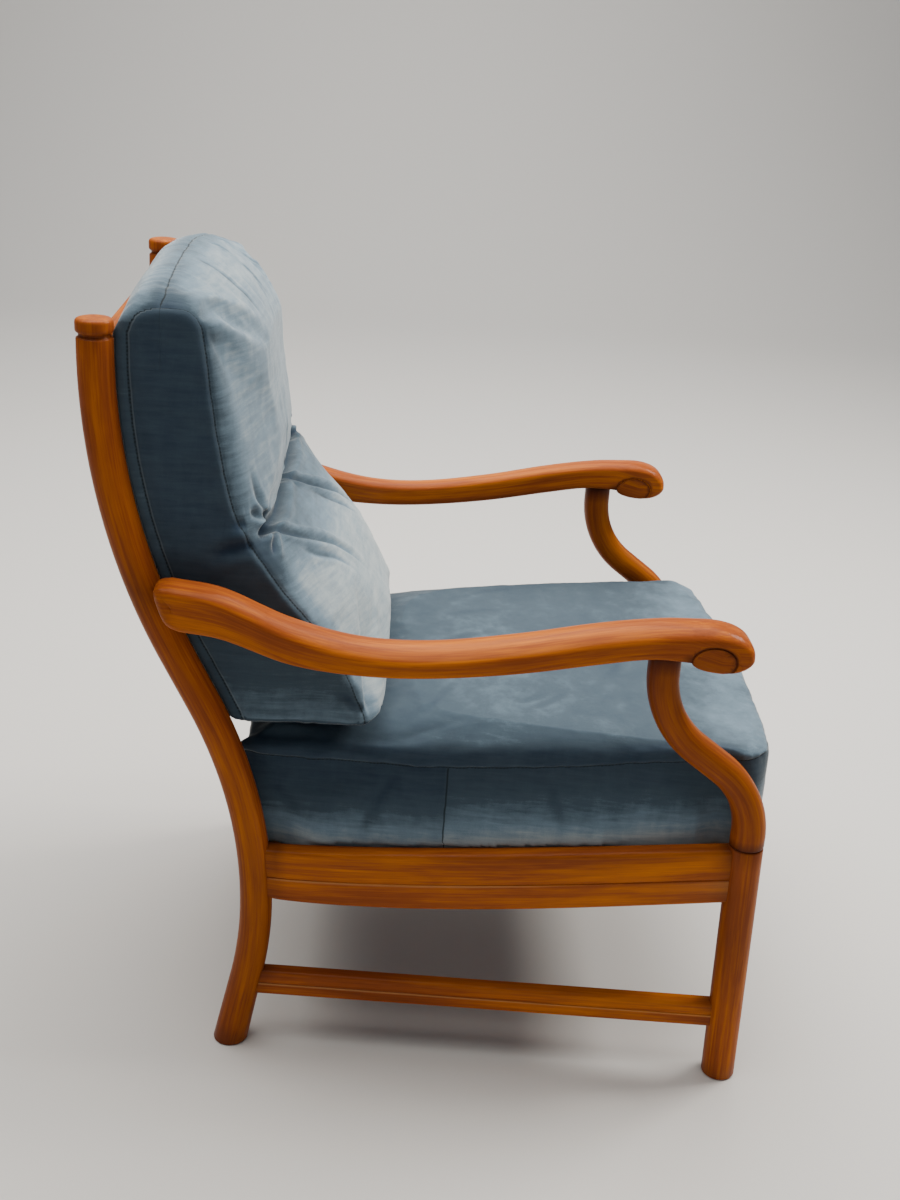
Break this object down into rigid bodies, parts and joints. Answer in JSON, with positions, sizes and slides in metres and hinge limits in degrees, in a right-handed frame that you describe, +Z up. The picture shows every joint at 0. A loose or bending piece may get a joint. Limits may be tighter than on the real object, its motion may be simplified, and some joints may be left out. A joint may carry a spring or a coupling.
{
  "type": "lounge chair",
  "caption": "High-backed lounge chair: bent round-wood posts, scroll arms on S-bent supports, grooved rails, and loose velvet seat and back cushions.",
  "frame": {"origin": "on the floor, under the centre of the chair's bounding box", "axes": "+Z up, the sitter faces -Y, +X towards the sitter's left"},
  "size_m": [0.678, 0.8486, 0.99],
  "materials": {
    "stained_wood": "satin reddish-orange stained lacquer, darker at the joints",
    "inner_wood": "plain pale hardwood",
    "dowel_wood": "plain turned beech",
    "velvet": "worn slate-blue velvet",
    "foam": "cut foam",
    "zip": "closed coil zip on dark tape",
    "webbing": "matt rubber webbing with a cloth face",
    "steel": "plain steel"
  },
  "bodies": {
    "frame": {"back_post_left": "stained_wood", "back_post_right": "stained_wood", "front_leg_left": "stained_wood", "front_leg_right": "stained_wood", "arm_support_left": "stained_wood", "arm_support_right": "stained_wood", "arm_left": "stained_wood", "arm_right": "stained_wood", "side_rail_left": "stained_wood", "side_rail_right": "stained_wood", "side_stretcher_left": "stained_wood", "side_stretcher_right": "stained_wood", "front_rail": "stained_wood", "rear_rail": "stained_wood", "crest_rail": "stained_wood", "back_slat_upper": "stained_wood", "back_slat_middle": "stained_wood", "back_slat_lower": "stained_wood", "corner_block_front_left": "inner_wood", "corner_block_front_right": "inner_wood", "corner_block_rear_left": "inner_wood", "corner_block_rear_right": "inner_wood", "corner_screws": "steel", "leg_dowels": "dowel_wood", "arm_front_dowels": "dowel_wood", "arm_rear_dowels": "dowel_wood", "side_rail_dowels": "dowel_wood", "cross_rail_dowels": "dowel_wood", "stretcher_dowels": "dowel_wood", "slat_dowels": "dowel_wood", "seat_straps": "webbing", "strap_clips": "steel"},
    "seat_cushion": {"seat_cushion_cover": "velvet", "seat_cushion_core": "foam", "seat_zip": "zip"},
    "back_cushion": {"back_cushion_cover": "velvet", "back_cushion_core": "foam", "back_zip": "zip"}
  },
  "joints": [
    {"name": "seat_lift", "type": "slide", "parent": "frame", "child": "seat_cushion", "axis": [0, 0, 1], "range_m": [0, 0.15]},
    {"name": "back_lift", "type": "slide", "parent": "seat_cushion", "child": "back_cushion", "axis": [0, 0, 1], "range_m": [0, 0.2]}
  ]
}
